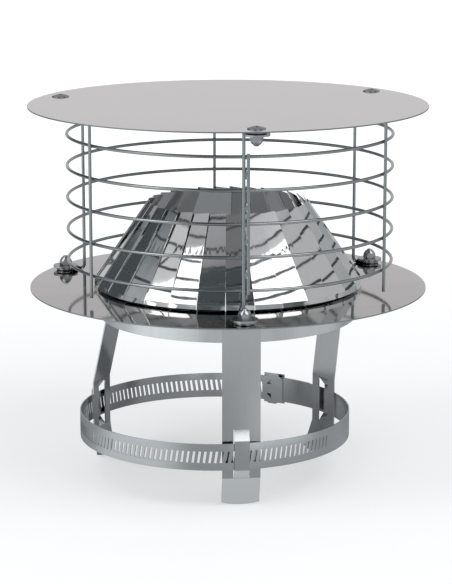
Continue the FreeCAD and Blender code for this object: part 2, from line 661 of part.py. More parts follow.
def makePost(side):
    # upright wire of the guard whose two ends are bent into loops under the nuts
    wire = size("wire_diameter")
    azimuth = size(f"{side}_post_angle")
    guard_shift = Vector(size("guard_shift_x"), size("guard_shift_y"), 0)
    levels = (("base", measure(base_top) + wire / 2, 1), ("top", measure(rain_underside) - wire / 2, -1))
    starts = []
    edges = []
    for prefix, level, sign in levels:
        bolt_azimuth = size(f"{side}_{prefix}_bolt_angle")
        foot = polarPoint(azimuth, measure(post_reach), 0, level) + guard_shift
        centre = polarPoint(bolt_azimuth, measure(bolt_reach[prefix]), 0, level)
        start, hook = hookPath(foot, centre, azimuth > bolt_azimuth, sign)
        starts.append(start)
        edges += hook
    edges.append(Part.LineSegment(starts[0], starts[1]).toShape())
    path = Part.Wire(Part.__sortEdges__(edges))
    first_edge = path.OrderedEdges[0]
    direction = first_edge.tangentAt(first_edge.FirstParameter)
    section = Part.Wire(Part.Circle(path.OrderedVertexes[0].Point, direction, wire / 2).toShape())
    post = doc.addObject("Part::Feature", f"guard_post_{side}")
    post.Shape = path.makePipeShell([section], True, False)
    return post


def makeStay(side):
    # plain upright wire with free ends
    stay = primitive("Part::Cylinder", f"guard_stay_{side}", Radius="sizes.wire_diameter / 2",
                     Height="sizes.disc_spacing - sizes.stay_foot_gap - sizes.stay_head_gap")
    x, y = onGuard(post_reach, f"sizes.{side}_stay_angle")
    place(stay, x, y, f"{base_top} + sizes.stay_foot_gap")
    return stay


def makeJointWire():
    # short wire beside the front post, from the lowest ring to the highest, with a weld bead to the
    # post between each two rings
    stick = primitive("Part::Cylinder", "joint_stick", Radius="sizes.wire_diameter / 2",
                      Height=f"(sizes.ring_count - 1) * {ring_pitch} + 2 * sizes.wire_diameter")
    x, y = onGuard(post_reach, joint_angle)
    place(stick, x, y, f"{base_top} + sizes.ring_first_height - sizes.wire_diameter")
    pieces = [stick]
    middle = f"(sizes.front_post_angle + {joint_step} / 2)"
    for number in range(int(size("ring_count")) - 1):
        bead = primitive("Part::Ellipsoid", f"weld_bead_{number + 1}", Radius1="sizes.bead_length / 2",
                         Radius2="sizes.bead_reach", Radius3="sizes.bead_depth / 2")
        x, y = onGuard(post_reach, middle)
        place(bead, x, y, f"{base_top} + sizes.ring_first_height + ({number} + 0.5) * {ring_pitch}", middle)
        pieces.append(bead)
    welded = doc.addObject("Part::MultiFuse", "joint_stick_with_beads")
    welded.Shapes = pieces
    post_room = primitive("Part::Cylinder", "front_post_room", Height="sizes.disc_spacing",
                          Radius="sizes.wire_diameter / 2 + sizes.weld_gap")
    x, y = onGuard(post_reach, "sizes.front_post_angle")
    place(post_room, x, y, base_top)
    joint = doc.addObject("Part::Cut", "guard_joint_wire")
    joint.Base = welded
    joint.Tool = post_room
    return joint


def makeBolt(name, prefix, side):
    # domed head with a cross recess; the shank points away from the head
    body = newBody(name)
    half = "(sizes.head_diameter / 2)"
    dome = "(sizes.head_height - sizes.head_rim)"
    profile = newSketch(body, name + "_profile", "XZ_Plane")
    drawOutline(
        profile,
        [("0", "sizes.head_height"), (half, "sizes.head_rim"), (half, "0"), ("sizes.bolt_diameter / 2", "0"),
         ("sizes.bolt_diameter / 2", "sizes.bolt_point - sizes.bolt_length"),
         ("sizes.bolt_diameter / 2 - sizes.bolt_point", "-sizes.bolt_length"), ("0", "-sizes.bolt_length")],
        {0: (f"({half} * {half} + {dome} * {dome}) / (2 * {dome})", -1)})
    revolve(body, profile, name + "_turned")
    recess = newSketch(body, name + "_cross", lift="sizes.head_height")
    arm = "sizes.recess_reach"
    half_arm = "sizes.recess_width / 2"
    quarter = [(arm, f"-({half_arm})"), (arm, half_arm), (half_arm, half_arm)]
    cross = []
    for _ in range(4):
        cross += quarter
        quarter = [(f"-({y})", x) for x, y in quarter]
    drawOutline(recess, cross)
    pocket(body, recess, "sizes.recess_depth", name=name + "_recess")
    x, y = onCircle(bolt_reach[prefix], f"sizes.{side}_{prefix}_bolt_angle")
    if prefix == "base":
        place(body, x, y, "sizes.leg_drop", "180", Vector(1, 0, 0))
    else:
        place(body, x, y, f"{rain_underside} + sizes.disc_thickness")
    return body


def makeWasher(name, prefix, side):
    body = newBody(name)
    flat = newSketch(body, name + "_ring")
    drawCircle(flat, "sizes.washer_diameter")
    drawCircle(flat, bolt_hole)
    pad(body, flat, "sizes.washer_thickness", name=name + "_sheet")
    x, y = onCircle(bolt_reach[prefix], f"sizes.{side}_{prefix}_bolt_angle")
    if prefix == "base":
        place(body, x, y, f"{base_top} + sizes.wire_diameter")
    else:
        place(body, x, y, f"{rain_underside} - sizes.wire_diameter - sizes.washer_thickness")
    return body


def makeNut(name, prefix, side):
    # lock nut: a turned blank with a rounded collar, cut to a hexagon
    body = newBody(name)
    bore = "(sizes.bolt_diameter / 2 + sizes.nut_bore_gap)"
    corner = "(sizes.nut_width / 2 / cos(30))"
    profile = newSketch(body, name + "_profile", "XZ_Plane")
    drawOutline(profile, [
        (bore, "0"),
        ("sizes.nut_width / 2", "0"),
        (corner, "sizes.nut_chamfer"),
        (corner, "sizes.nut_body_height"),
        ("sizes.nut_crown_diameter / 2", "sizes.nut_height"),
        (bore, "sizes.nut_height"),
    ], {3: ("sizes.nut_width", 1)})
    revolve(body, profile, name + "_turned")
    hexagon = newSketch(body, name + "_hexagon")
    drawCircle(hexagon, "2 * sizes.nut_width")
    drawOutline(hexagon, hexagonCorners("sizes.nut_width"))
    pocket(body, hexagon, "4 * sizes.nut_height", both_ways=True, name=name + "_flats")
    x, y = onCircle(bolt_reach[prefix], f"sizes.{side}_{prefix}_bolt_angle")
    stack = "(sizes.wire_diameter + sizes.washer_thickness)"
    if prefix == "base":
        place(body, x, y, f"{base_top} + {stack}")
    else:
        place(body, x, y, f"{rain_underside} - {stack}", "180", Vector(1, 0, 0))
    return body


enterSizes()
sub_parts = [
    makeDisc("base_disc", "base", "sizes.leg_drop", True),
    makeDisc("rain_disc", "top", rain_underside, False),
    makeLamellaCone(),
    makeClampBand(),
    makeClampHousing(),
    makeClampScrew(),
]
for number in range(int(size("ring_count"))):
    sub_parts.append(makeRing(number))
for side in ("front", "right", "left"):
    sub_parts.append(makeLeg(side))
    sub_parts.append(makePost(side))
    for prefix in ("base", "top"):
        sub_parts.append(makeBolt(f"{prefix}_bolt_{side}", prefix, side))
        sub_parts.append(makeWasher(f"{prefix}_washer_{side}", prefix, side))
        sub_parts.append(makeNut(f"{prefix}_nut_{side}", prefix, side))
for side in ("right", "back", "left"):
    sub_parts.append(makeStay(side))
sub_parts.append(makeJointWire())

doc.recompute()
for thing in doc.Objects:
    if "Invalid" in thing.State or "Error" in thing.State:
        raise RuntimeError(f"{thing.Label} failed: {thing.State}")
for part in sub_parts:
    if part.Shape.isNull() or not part.Shape.isValid():
        raise RuntimeError(f"{part.Label} has no valid shape")
    if len(part.Shape.Solids) != 1:
        raise RuntimeError(f"{part.Label} has {len(part.Shape.Solids)} solids")
for part in sub_parts:
    part.Shape.exportStep(os.path.join("parts", part.Label + ".step"))
    print(part.Label, round(part.Shape.Volume, 1))
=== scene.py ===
import json
import math
import bmesh
import bpy
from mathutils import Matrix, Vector


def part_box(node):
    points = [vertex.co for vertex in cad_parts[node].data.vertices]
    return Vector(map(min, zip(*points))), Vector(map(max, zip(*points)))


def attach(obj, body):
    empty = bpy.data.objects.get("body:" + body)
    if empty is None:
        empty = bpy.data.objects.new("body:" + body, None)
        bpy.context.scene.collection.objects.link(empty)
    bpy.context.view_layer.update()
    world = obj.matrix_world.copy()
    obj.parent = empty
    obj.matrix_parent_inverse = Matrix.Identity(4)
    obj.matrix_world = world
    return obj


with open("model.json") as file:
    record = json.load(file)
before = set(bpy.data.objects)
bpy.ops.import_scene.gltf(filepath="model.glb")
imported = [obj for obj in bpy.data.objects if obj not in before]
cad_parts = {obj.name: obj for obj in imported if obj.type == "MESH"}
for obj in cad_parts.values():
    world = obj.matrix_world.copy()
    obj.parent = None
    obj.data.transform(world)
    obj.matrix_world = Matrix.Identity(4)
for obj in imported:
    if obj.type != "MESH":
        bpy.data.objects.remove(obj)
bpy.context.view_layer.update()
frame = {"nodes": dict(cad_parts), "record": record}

cad = frame["nodes"]
print("frame loaded,", len(cad), "nodes")


def hexColor(code):
    # sRGB hex to linear
    values = [int(code[i:i + 2], 16) / 255 for i in (1, 3, 5)]
    linear = [v / 12.92 if v <= 0.04045 else ((v + 0.055) / 1.055) ** 2.4 for v in values]
    return (linear[0], linear[1], linear[2], 1.0)


def addNode(tree, kind, settings=None, inputs=None):
    node = tree.nodes.new(kind)
    for name, value in (settings or {}).items():
        setattr(node, name, value)
    for name, value in (inputs or {}).items():
        if isinstance(value, bpy.types.NodeSocket):
            tree.links.new(value, node.inputs[name])
        else:
            node.inputs[name].default_value = value
    return node


def toward(azimuth, elevation):
    # azimuth 0 is the front, 90 the right
    turn, lift = math.radians(azimuth), math.radians(elevation)
    return Vector((math.sin(turn) * math.cos(lift), -math.cos(turn) * math.cos(lift), math.sin(lift)))


def newMaterial(name):
    material = bpy.data.materials.new(name)
    material.use_nodes = True
    material.node_tree.nodes.clear()
    return material, material.node_tree


# Stainless steel, one finish for each kind of stock. All lengths are in metres.
discSheet = {
    "color": "#cfcccb",          # bright-annealed, a little warm
    "streakColor": "#c6c4c4",
    "roughness": 0.05,           # where it is smoothest
    "roughnessChange": 0.04,
    "streakWidth": 0.0016,       # rolling lines are about 0.1 mm apart; 1.6 mm here, to show
    "streakLength": 0.12,
    "streakAlong": "x",
    "lineDepth": 0.0000008,
    "waviness": 0.00022,         # flat sheet never lies quite flat: 0.2 mm over a palm's width
    "wavinessWidth": 0.09,
}
# sheared rim and holes of the discs: torn, duller and darker than the faces
cutEdge = {
    "color": "#8b9092",
    "roughness": 0.30,           # added to the sheet's own
    "uprightBelow": 0.4,         # a face whose normal rises less than this is a cut edge
}
combStrip = {
    "color": "#cfcfcf",
    "streakColor": "#c1c2c2",
    "roughness": 0.04,
    "roughnessChange": 0.04,
    "streakWidth": 0.0016,       # rolling lines again, 1.6 mm here instead of 0.1 mm
    "streakLength": 0.12,
    "streakAlong": "z",
    "lineDepth": 0.0000008,
    "waviness": 0.00016,         # thin strip buckles a little within each lamella's width
    "wavinessWidth": 0.022,
}
# each lamella is sprung a little differently, so it mirrors a little askew from the next
lamellae = {
    "count": 30,
    "tilt": 0.05,
    "seed": 296,
    "foot": 0.1229,              # height where the collar ends and the lamellae begin
}
legStrip = {
    "color": "#c2c3c4",
    "streakColor": "#bdbebf",
    "roughness": 0.12,
    "roughnessChange": 0.05,
    "streakWidth": 0.0012,       # cold-rolling lines of about 0.2 mm, 1.2 mm here, to show
    "streakLength": 0.05,
    "streakAlong": "z",
    "lineDepth": 0.000002,
    "waviness": 0.00014,
    "wavinessWidth": 0.03,
}
clampBand = {
    "color": "#c7c9ca",
    "streakColor": "#babcbd",
    "roughness": 0.16,
    "roughnessChange": 0.08,
    "streakWidth": 0.0010,       # lines of about 0.1 mm along the band, 1 mm here, to show
    "streakLength": 0.03,
    "streakAlong": "round",
    "lineDepth": 0.000003,
    "waviness": 0.00004,
    "wavinessWidth": 0.012,
}
guardWire = {
    "color": "#9da1a2",
    "streakColor": "#8f9394",
    "roughness": 0.13,
    "roughnessChange": 0.08,
    "streakWidth": 0.0016,       # marks of the drawing die are 0.05 mm; 1.6 mm here, to show
    "streakLength": 0.02,
    "streakAlong": "round",
    "lineDepth": 0.0000008,
    "waviness": 0.00001,
    "wavinessWidth": 0.008,
}
fastenerSteel = {
    "color": "#b4b6b6",
    "streakColor": "#9da0a0",
    "roughness": 0.16,
    "roughnessChange": 0.10,
    "streakWidth": 0.0007,       # tool marks of about 0.2 mm, 0.7 mm here, to show
    "streakLength": 0.004,
    "streakAlong": "x",
    "lineDepth": 0.000004,
    "waviness": 0.00003,
    "wavinessWidth": 0.004,
}
# how streaks and waves are mixed, the same in every finish
pattern = {
    "streakDetail": 3.0,
    "streakBreakup": 0.6,
    "waveDetail": 2.0,
    "streakShare": 0.5,          # weight of the streaks in the roughness, where the waves' is 1
    "smoothest": 0.4,            # the sum of both where the surface is smoothest
    "dullest": 1.1,              # and where it is dullest
}


def lamellaNormal(tree, place):
    # which lamella a face belongs to comes from the way it faces; its number gives a random tilt
    shape = addNode(tree, "ShaderNodeNewGeometry")
    facing = addNode(tree, "ShaderNodeSeparateXYZ", inputs={"Vector": shape.outputs["True Normal"]})
    turn = addNode(tree, "ShaderNodeMath", {"operation": "ARCTAN2"}, {
        0: facing.outputs["X"], 1: facing.outputs["Y"]})
    count = addNode(tree, "ShaderNodeMath", {"operation": "MULTIPLY"}, {
        0: turn.outputs[0], 1: lamellae["count"] / math.tau})
    number = addNode(tree, "ShaderNodeMath", {"operation": "ROUND"}, {0: count.outputs[0]})
    shuffled = addNode(tree, "ShaderNodeMath", {"operation": "ADD"}, {
        0: number.outputs[0], 1: lamellae["seed"]})
    chance = addNode(tree, "ShaderNodeTexWhiteNoise", {"noise_dimensions": "1D"}, {
        "W": shuffled.outputs[0]})
    height = addNode(tree, "ShaderNodeSeparateXYZ", inputs={"Vector": place.outputs["Object"]})
    above = addNode(tree, "ShaderNodeMath", {"operation": "GREATER_THAN"}, {
        0: height.outputs["Z"], 1: lamellae["foot"]})
    amount = addNode(tree, "ShaderNodeMath", {"operation": "MULTIPLY"}, {
        0: above.outputs[0], 1: lamellae["tilt"]})
    centred = addNode(tree, "ShaderNodeVectorMath", {"operation": "SUBTRACT"}, {
        0: chance.outputs["Color"], 1: (0.5, 0.5, 0.5)})
    tilt = addNode(tree, "ShaderNodeVectorMath", {"operation": "SCALE"}, {
        0: centred.outputs["Vector"], "Scale": amount.outputs[0]})
    tilted = addNode(tree, "ShaderNodeVectorMath", {"operation": "ADD"}, {
        0: shape.outputs["Normal"], 1: tilt.outputs["Vector"]})
    return addNode(tree, "ShaderNodeVectorMath", {"operation": "NORMALIZE"}, {
        0: tilted.outputs["Vector"]}).outputs["Vector"]


def makeSteel(name, look, hasLamellae=False, hasCutEdge=False):
    material, tree = newMaterial(name)
    place = addNode(tree, "ShaderNodeTexCoord")
    across, along = 1 / look["streakWidth"], 1 / look["streakLength"]
    stretch = {"x": (along, across, across), "z": (across, across, along),
               "round": (along, along, across)}[look["streakAlong"]]
    streakPlace = addNode(tree, "ShaderNodeMapping", inputs={
        "Vector": place.outputs["Object"], "Scale": stretch})
    streaks = addNode(tree, "ShaderNodeTexNoise", inputs={
        "Vector": streakPlace.outputs["Vector"], "Scale": 1.0,
        "Detail": pattern["streakDetail"], "Roughness": pattern["streakBreakup"]})
    clouds = addNode(tree, "ShaderNodeTexNoise", inputs={
        "Vector": place.outputs["Object"], "Scale": 1 / look["wavinessWidth"],
        "Detail": pattern["waveDetail"]})
    tone = addNode(tree, "ShaderNodeMix", {"data_type": "RGBA"}, {
        "Factor": streaks.outputs["Fac"],
        "A": hexColor(look["color"]), "B": hexColor(look["streakColor"])})
    blend = addNode(tree, "ShaderNodeMath", {"operation": "MULTIPLY_ADD"}, {
        0: streaks.outputs["Fac"], 1: pattern["streakShare"], 2: clouds.outputs["Fac"]})
    rough = addNode(tree, "ShaderNodeMapRange", inputs={
        "Value": blend.outputs[0], "From Min": pattern["smoothest"], "From Max": pattern["dullest"],
        "To Min": look["roughness"], "To Max": look["roughness"] + look["roughnessChange"]})
    waves = addNode(tree, "ShaderNodeBump", inputs={
        "Height": clouds.outputs["Fac"], "Distance": look["waviness"], "Strength": 1.0})
    if hasLamellae:
        tree.links.new(lamellaNormal(tree, place), waves.inputs["Normal"])
    lines = addNode(tree, "ShaderNodeBump", inputs={
        "Height": streaks.outputs["Fac"], "Distance": look["lineDepth"], "Strength": 1.0,
        "Normal": waves.outputs["Normal"]})
    paint, roughness = tone.outputs[2], rough.outputs["Result"]
    if hasCutEdge:
        shape = addNode(tree, "ShaderNodeNewGeometry")
        facing = addNode(tree, "ShaderNodeSeparateXYZ", inputs={"Vector": shape.outputs["True Normal"]})
        rise = addNode(tree, "ShaderNodeMath", {"operation": "ABSOLUTE"}, {0: facing.outputs["Z"]})
        edge = addNode(tree, "ShaderNodeMath", {"operation": "LESS_THAN"}, {
            0: rise.outputs[0], 1: cutEdge["uprightBelow"]})
        paint = addNode(tree, "ShaderNodeMix", {"data_type": "RGBA"}, {
            "Factor": edge.outputs[0], "A": paint, "B": hexColor(cutEdge["color"])}).outputs[2]
        roughness = addNode(tree, "ShaderNodeMath", {"operation": "MULTIPLY_ADD"}, {
            0: edge.outputs[0], 1: cutEdge["roughness"], 2: roughness}).outputs[0]
    steel = addNode(tree, "ShaderNodeBsdfPrincipled", inputs={
        "Base Color": paint, "Metallic": 1.0, "Roughness": roughness,
        "Normal": lines.outputs["Normal"]})
    addNode(tree, "ShaderNodeOutputMaterial", inputs={"Surface": steel.outputs["BSDF"]})
    return material


materials = {
    # mirror-like sheet: the discs show sharp, slightly swimming reflections
    "mirror_sheet": makeSteel("brightAnnealedStainlessSheet", discSheet, hasCutEdge=True),
    # the same finish on thin strip: each lamella is its own small mirror
    "strip_sheet": makeSteel("brightAnnealedStainlessStrip", combStrip, hasLamellae=True),
    # cold-rolled strip, duller, with lines along its length
    "leg_strip": makeSteel("coldRolledStainlessStrip", legStrip),
    # rolled band: softer still, its highlights drawn out round the clamp
    "clamp_steel": makeSteel("rolledStainlessClampBand", clampBand),
    # drawn wire, darkest of all from its oxide and drawing soap
    "guard_wire": makeSteel("drawnStainlessWire", guardWire),
    # pressed heads, nuts and washers: small blurred highlights on lightly marked faces
    "fastener_steel": makeSteel("pressedStainlessFasteners", fastenerSteel),
}
slots = {part["node"]: part["material_slot"] for part in frame["record"]["subparts"]}
for name, thing in cad.items():
    if not thing.material_slots:
        thing.data.materials.append(None)
    for holder in thing.material_slots:
        holder.material = materials[slots[name]]
print("finishes given to the CAD nodes")


def keepPiece(name, points, faces, slot):
    mesh = bpy.data.meshes.new(name)
    mesh.from_pydata(points, [], faces)
    shape = bmesh.new()
    shape.from_mesh(mesh)
    bmesh.ops.remove_doubles(shape, verts=shape.verts, dist=0.000001)  # poles of the beads
    bmesh.ops.recalc_face_normals(shape, faces=shape.faces)
    shape.to_mesh(mesh)
    shape.free()
    for face in mesh.polygons:
        face.use_smooth = True
    piece = bpy.data.objects.new(name, mesh)
    bpy.context.scene.collection.objects.link(piece)
    mesh.materials.append(materials[slot])
    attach(piece, "root")


# Thread ridges, too fine for the solids
ridgeForm = {
    "turnSteps": 20,
    "halfWidth": 0.40,           # of the pitch, at the ridge's foot
    "crest": 0.15,               # of the foot's width
    "fade": 1.5,                 # each end runs out within 1 / 1.5 of a turn
    "sink": 0.00004,             # the foot lies this deep in the shank
}


def ridge(start, along, radius, height, pitch, length):
    # one closed helical ridge, whose ends run out into the shank
    side = along.orthogonal().normalized()
    other = along.cross(side)
    steps = ridgeForm["turnSteps"]
    total = int(length / pitch * steps)
    half = pitch * ridgeForm["halfWidth"]
    foot = radius - ridgeForm["sink"]
    points, faces = [], []
    for i in range(total + 1):
        angle = math.tau * i / steps
        out = side * math.cos(angle) + other * math.sin(angle)
        fade = min(1.0, i / steps * ridgeForm["fade"], (total - i) / steps * ridgeForm["fade"])
        middle = start + along * (length * i / total)
        points.append(middle + out * foot - along * half)
        points.append(middle + out * (radius + height * fade) - along * half * ridgeForm["crest"])
        points.append(middle + out * (radius + height * fade) + along * half * ridgeForm["crest"])
        points.append(middle + out * foot + along * half)
        if i:
            a, b = (i - 1) * 4, i * 4
            faces += [(a + k, b + k, b + (k + 1) % 4, a + (k + 1) % 4) for k in range(4)]
    last = total * 4
    faces += [(0, 1, 2, 3), (last + 3, last + 2, last + 1, last)]
    return points, faces


thread = {
    "radius": 0.0020,            # M4 bolts
    "pitch": 0.0007,
    "height": 0.00010,
    "tip": 0.0008,               # the end of the bolt, beyond the last turn, stays bare
    "inNut": 0.0004,             # the first turn starts this far inside the nut
}
for end, upwards in (("base", True), ("top", False)):
    for side in ("front", "right", "left"):
        boltLow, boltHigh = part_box(f"{end}_bolt_{side}")
        nutLow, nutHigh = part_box(f"{end}_nut_{side}")
        middle = ((boltLow[0] + boltHigh[0]) / 2, (boltLow[1] + boltHigh[1]) / 2)
        if upwards:
            first, last = nutHigh[2] - thread["inNut"], boltHigh[2] - thread["tip"]
        else:
            first, last = boltLow[2] + thread["tip"], nutLow[2] + thread["inNut"]
        points, faces = ridge(Vector((middle[0], middle[1], first)), Vector((0, 0, 1)),
                              thread["radius"], thread["height"], thread["pitch"], last - first)
        keepPiece(f"{end}_thread_{side}", points, faces, "fastener_steel")

# the clamp screw lies along the band, between the ends of the housing
worm = {
    "azimuth": 147.9,
    "clampMiddle": (-0.00847, 0.00074, 0.0334),
    "radius": 0.0040,
    "pitch": 0.0023,
    "height": 0.00022,
    "length": 0.0106,
}
turn = math.radians(worm["azimuth"])
along = Vector((math.cos(turn), math.sin(turn), 0))
outward = Vector((math.sin(turn), -math.cos(turn), 0))
clampMiddle = Vector(worm["clampMiddle"])
reach = max((corner.co - clampMiddle).dot(outward) for corner in cad["clamp_screw"].data.vertices)
wormMiddle = clampMiddle + outward * (reach - worm["radius"])
points, faces = ridge(wormMiddle - along * worm["length"] / 2, along,
                      worm["radius"], worm["height"], worm["pitch"], worm["length"])
keepPiece("clamp_worm_thread", points, faces, "clamp_steel")

# Welds of the guard: each ring is fused to each upright wire in a small uneven bead
weld = {
    "size": 0.00125,
    "tall": 1.1,
    "squash": 0.75,              # thinner between the wires than along them
    "uneven": 0.28,
    "rows": 7,
    "columns": 12,
    "rings": 5,
    "ringMiddle": (0.0012, -0.0001, 0),
    "ringRadius": 0.1029,
    "slice": 0.0005,             # how much of the wire's height tells where its middle is
}


def wireMiddle(wire, level):
    # middle of an upright wire at a level, or nothing where it doesn't reach there
    above = [v.co for v in wire.data.vertices if v.co.z > level]
    below = [v.co for v in wire.data.vertices if v.co.z <= level]
    if not above or not below:
        return None
    top = min(v.z for v in above) + weld["slice"]
    bottom = max(v.z for v in below) - weld["slice"]
    around = [v for v in above if v.z < top] + [v for v in below if v.z > bottom]
    return sum((Vector((v.x, v.y, 0)) for v in around), Vector()) / len(around)


def bead(middle, outward, number):
    # a squashed ball with one broad bulge and a fine ripple, different at each ring
    across = outward.cross(Vector((0, 0, 1)))
    points = []
    for row in range(weld["rows"] + 1):
        lean = math.pi * row / weld["rows"]
        for column in range(weld["columns"]):
            angle = math.tau * column / weld["columns"]
            lump = 1 + weld["uneven"] * math.sin(2.3 * angle + number * 1.9) * math.sin(lean) ** 2 * 0.5
            lump += weld["uneven"] * 0.3 * math.sin(5 * angle + 3 * lean + number)
            flat = weld["size"] * lump * math.sin(lean)
            points.append(middle + across * flat * math.cos(angle)
                          + outward * flat * math.sin(angle) * weld["squash"]
                          + Vector((0, 0, weld["size"] * weld["tall"] * math.cos(lean))))
    return points


ringMiddle = Vector(weld["ringMiddle"])
columns = weld["columns"]
for upright in ("post_front", "post_right", "post_left",
                "stay_right", "stay_back", "stay_left", "joint_wire"):
    points, faces = [], []
    for number in range(1, weld["rings"] + 1):
        low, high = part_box(f"guard_ring_{number}")
        level = (low[2] + high[2]) / 2
        wireAt = wireMiddle(cad["guard_" + upright], level)
        if wireAt is None:
            continue
        outward = (wireAt - ringMiddle).normalized()
        ringAt = ringMiddle + outward * weld["ringRadius"]
        first = len(points)
        points += bead((wireAt + ringAt) / 2 + Vector((0, 0, level)), outward, number)
        for row in range(weld["rows"]):
            for column in range(columns):
                a = first + row * columns + column
                b = first + row * columns + (column + 1) % columns
                faces.append((a, b, b + columns, a + columns))
    keepPiece(f"guard_welds_{upright}", points, faces, "guard_wire")
print("threads and welds made")


# Floor, light and camera. All lengths are in metres.
studio = {
    "floorHalf": 4.0,
    "floorColor": "#d0d3d5",     # pale grey paper
    "floorFleck": "#c9cccd",
    "floorPatches": 60.0,        # across the sheet, so each is about 130 mm wide
    "floorGlow": 0.50,           # only the camera sees it: lifts the paper to white, keeps the shadow
    "farGlow": 0.80,             # the same further out, where the softboxes reach less
    "glowChange": (0.15, 1.3),   # from the middle, where the one turns into the other
    "ambient": 0.50,
    "room": "#b3b9bb",           # what bare metal mirrors where no card, paper or softbox stands
    "aim": (0, 0, 0.13),
}
# the floor as bare metal mirrors it, painted as a glow that only glossy and transmission rays see: a
# painted shade under the part, paler further out
floorPaintedForMetal = {
    "color": "#f5fafd",          # a touch cool, as the photograph's greys are
    # painted shade: the glow is dimmest under the part
    "under": 0.36,
    "near": 0.47,
    "far": 0.50,
    "nearChange": (0.07, 0.13),  # from the middle
    "farChange": (0.26, 0.50),
    "patchStart": (0.85, 1.15),  # a painted light patch's soft edges, as shares of its start and stop
    "patchEnd": (0.9, 1.3),
}
# painted light patches on it, in place of reflectors: azimuth, inner and outer half angle in degrees,
# start and stop from the middle, and the brightness that each adds; a negative brightness is painted
# shade
paintedLightPatches = {
    "left": (-62, 10, 42, 0.12, 9.0, 0.42),
    "leftFar": (-82, 14, 50, 0.26, 9.0, 0.26),
    "front": (0, 26, 48, 0.43, 9.0, 0.20),
    "right": (72, 8, 42, 0.30, 9.0, 0.28),
    "frontRight": (40, 18, 38, 0.225, 0.36, 0.95),
    "frontTip": (0, 24, 40, 0.055, 0.105, 0.48),
    # backShade is a painted shade: it takes brightness from the floor's glow behind the part
    "backShade": (180, 50, 82, 0.055, 0.20, -0.15),
}
smooth = {"interpolation_type": "SMOOTHSTEP"}


def cardShare(tree, direction, azimuth, elevation, inner, outer, amount):
    # a round soft patch in one direction: the whole amount inside, nothing outside
    near = addNode(tree, "ShaderNodeVectorMath", {"operation": "DOT_PRODUCT"}, {
        0: direction, 1: toward(azimuth, elevation)})
    return addNode(tree, "ShaderNodeMapRange", smooth, {
        "Value": near.outputs["Value"], "From Min": math.cos(math.radians(outer)),
        "From Max": math.cos(math.radians(inner)), "To Min": 0.0, "To Max": amount}).outputs["Result"]


floorMesh = bpy.data.meshes.new("floor")
half = studio["floorHalf"]
floorMesh.from_pydata([(-half, -half, 0), (half, -half, 0), (half, half, 0), (-half, half, 0)], [],
                      [(0, 1, 2, 3)])
floor = bpy.data.objects.new("floor", floorMesh)
bpy.context.scene.collection.objects.link(floor)
floorPaper, tree = newMaterial("paleFloorPaperWithPaintedGlow")  # soft and even, so that only the shadow shows; bare metal sees a painted glow in its place
grain = addNode(tree, "ShaderNodeTexNoise", inputs={"Scale": studio["floorPatches"], "Detail": 2.0})
paper = addNode(tree, "ShaderNodeMix", {"data_type": "RGBA"}, {
    "Factor": grain.outputs["Fac"],
    "A": hexColor(studio["floorColor"]), "B": hexColor(studio["floorFleck"])})
matte = addNode(tree, "ShaderNodeBsdfDiffuse", inputs={"Color": paper.outputs[2]})
rays = addNode(tree, "ShaderNodeLightPath")
place = addNode(tree, "ShaderNodeTexCoord")
reach = addNode(tree, "ShaderNodeVectorMath", {"operation": "LENGTH"}, {0: place.outputs["Object"]})
lift = addNode(tree, "ShaderNodeMapRange", smooth, {
    "Value": reach.outputs["Value"],
    "From Min": studio["glowChange"][0], "From Max": studio["glowChange"][1],
    "To Min": studio["floorGlow"], "To Max": studio["farGlow"]})
glowAmount = addNode(tree, "ShaderNodeMath", {"operation": "MULTIPLY"}, {
    0: rays.outputs["Is Camera Ray"], 1: lift.outputs["Result"]})
glow = addNode(tree, "ShaderNodeEmission", inputs={
    "Color": (1, 1, 1, 1), "Strength": glowAmount.outputs[0]})
shown = addNode(tree, "ShaderNodeAddShader", inputs={0: matte.outputs[0], 1: glow.outputs[0]})

outward = addNode(tree, "ShaderNodeVectorMath", {"operation": "NORMALIZE"}, {
    0: place.outputs["Object"]})
nearTone = addNode(tree, "ShaderNodeMapRange", smooth, {
    "Value": reach.outputs["Value"],
    "From Min": floorPaintedForMetal["nearChange"][0], "From Max": floorPaintedForMetal["nearChange"][1],
    "To Min": floorPaintedForMetal["under"], "To Max": floorPaintedForMetal["near"]})
farTone = addNode(tree, "ShaderNodeMapRange", smooth, {
    "Value": reach.outputs["Value"],
    "From Min": floorPaintedForMetal["farChange"][0], "From Max": floorPaintedForMetal["farChange"][1],
    "To Min": 0.0, "To Max": floorPaintedForMetal["far"] - floorPaintedForMetal["near"]})
bright = addNode(tree, "ShaderNodeMath", {"operation": "ADD"}, {
    0: nearTone.outputs["Result"], 1: farTone.outputs["Result"]}).outputs[0]
# each painted light patch is added to the floor's painted glow
for azimuth, inner, outer, start, stop, gain in paintedLightPatches.values():
    share = cardShare(tree, outward.outputs["Vector"], azimuth, 0, inner, outer, gain)
    begin = addNode(tree, "ShaderNodeMapRange", smooth, {
        "Value": reach.outputs["Value"], "From Min": start * floorPaintedForMetal["patchStart"][0],
        "From Max": start * floorPaintedForMetal["patchStart"][1], "To Min": 0.0, "To Max": 1.0})
    finish = addNode(tree, "ShaderNodeMapRange", smooth, {
        "Value": reach.outputs["Value"], "From Min": stop * floorPaintedForMetal["patchEnd"][0],
        "From Max": stop * floorPaintedForMetal["patchEnd"][1], "To Min": 1.0, "To Max": 0.0})
    card = addNode(tree, "ShaderNodeMath", {"operation": "MULTIPLY"}, {
        0: share, 1: begin.outputs["Result"]})
    bright = addNode(tree, "ShaderNodeMath", {"operation": "MULTIPLY_ADD"}, {
        0: card.outputs[0], 1: finish.outputs["Result"], 2: bright}).outputs[0]
